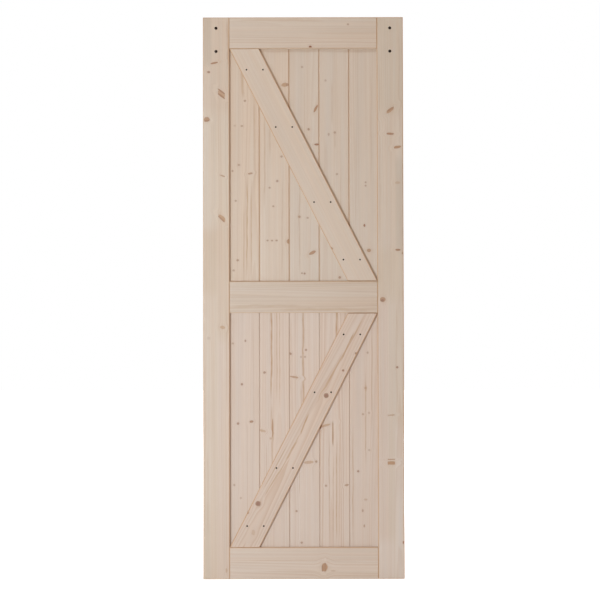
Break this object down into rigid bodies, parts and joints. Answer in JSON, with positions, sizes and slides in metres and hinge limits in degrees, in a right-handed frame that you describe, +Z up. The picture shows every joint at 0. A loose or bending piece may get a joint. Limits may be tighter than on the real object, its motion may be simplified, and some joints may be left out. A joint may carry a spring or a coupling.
{
  "type": "sliding barn door",
  "caption": "Unfinished softwood sliding barn door slab with a grooved frame, V-jointed vertical planks and diagonal braces, drilled for strap hangers.",
  "frame": {"origin": "middle of the slab's bottom edge, halfway through its thickness", "axes": "+Z up along the door's height, +X across the door to the viewer's right, -Y out of the braced front face"},
  "size_m": [0.762, 0.035, 2.134],
  "materials": {
    "spruce_frame": "bare sanded spruce",
    "spruce_plank": "bare sanded spruce",
    "spruce_brace": "bare sanded spruce",
    "beech_dowel": "bare turned beech",
    "dark_screw": "dark phosphate"
  },
  "bodies": {
    "root": {"left_stile": "spruce_frame", "right_stile": "spruce_frame", "top_rail": "spruce_frame", "middle_rail": "spruce_frame", "bottom_rail": "spruce_frame", "upper_plank_1": "spruce_plank", "upper_plank_2": "spruce_plank", "upper_plank_3": "spruce_plank", "upper_plank_4": "spruce_plank", "upper_plank_5": "spruce_plank", "lower_plank_1": "spruce_plank", "lower_plank_2": "spruce_plank", "lower_plank_3": "spruce_plank", "lower_plank_4": "spruce_plank", "lower_plank_5": "spruce_plank", "upper_brace": "spruce_brace", "lower_brace": "spruce_brace", "upper_brace_screws": "dark_screw", "lower_brace_screws": "dark_screw", "top_rail_dowels": "beech_dowel", "middle_rail_dowels": "beech_dowel", "bottom_rail_dowels": "beech_dowel"}
  },
  "joints": []
}
